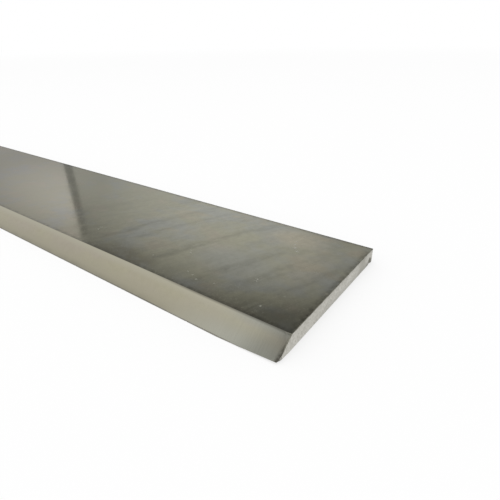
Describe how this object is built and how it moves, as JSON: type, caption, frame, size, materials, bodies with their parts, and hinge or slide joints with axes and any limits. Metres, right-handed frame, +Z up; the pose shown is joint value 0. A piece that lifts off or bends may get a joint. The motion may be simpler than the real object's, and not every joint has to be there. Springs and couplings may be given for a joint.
{
  "type": "planer knife",
  "caption": "Long flat steel planer knife with one bevelled cutting edge and square ground ends, clamped in a cutter head to plane timber.",
  "frame": {"origin": "middle of the wide flat face that the knife lies on", "axes": "+X along the knife, towards the end that has the chipped corner; +Y across it, from the cutting edge to the back; +Z up, from the wide flat face to the face that the bevel is ground into"},
  "size_m": [0.31, 0.035, 0.003],
  "materials": {
    "tool_steel": "ground and lightly oiled high speed tool steel, with fine slanting grinding marks on the flat faces and sawn, matt ends"
  },
  "bodies": {
    "root": {"planer_knife": "tool_steel"}
  },
  "joints": []
}
